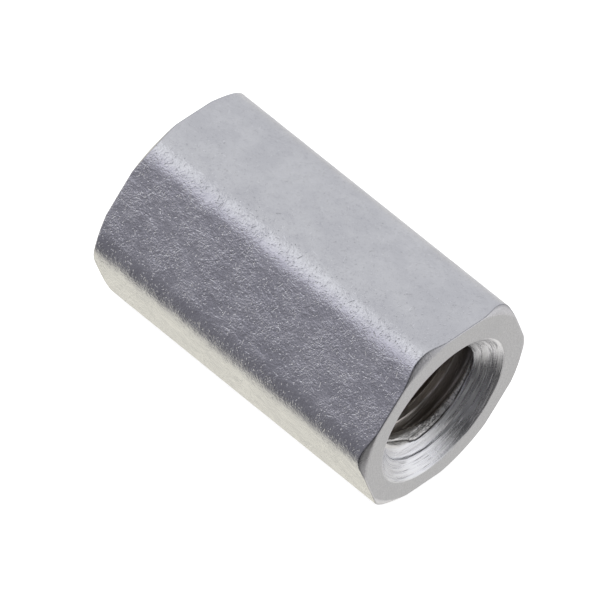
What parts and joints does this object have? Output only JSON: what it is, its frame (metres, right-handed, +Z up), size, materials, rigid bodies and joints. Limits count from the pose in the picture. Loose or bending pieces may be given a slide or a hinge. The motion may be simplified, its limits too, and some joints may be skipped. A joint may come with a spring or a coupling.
{
  "type": "circuit board standoff",
  "caption": "Hexagonal aluminium circuit board standoff, female thread at both ends, rounded corners, chamfered ends and countersunk mouths.",
  "frame": {"origin": "centre of the flat that the standoff lies on, half way along it", "axes": "+X along the threaded hole towards the front end, +Z up out of the top flat, +Y across the corners"},
  "size_m": [0.01, 0.0066, 0.006],
  "materials": {
    "aluminium": "satin"
  },
  "bodies": {
    "root": {"hex_standoff": "aluminium"}
  },
  "joints": []
}
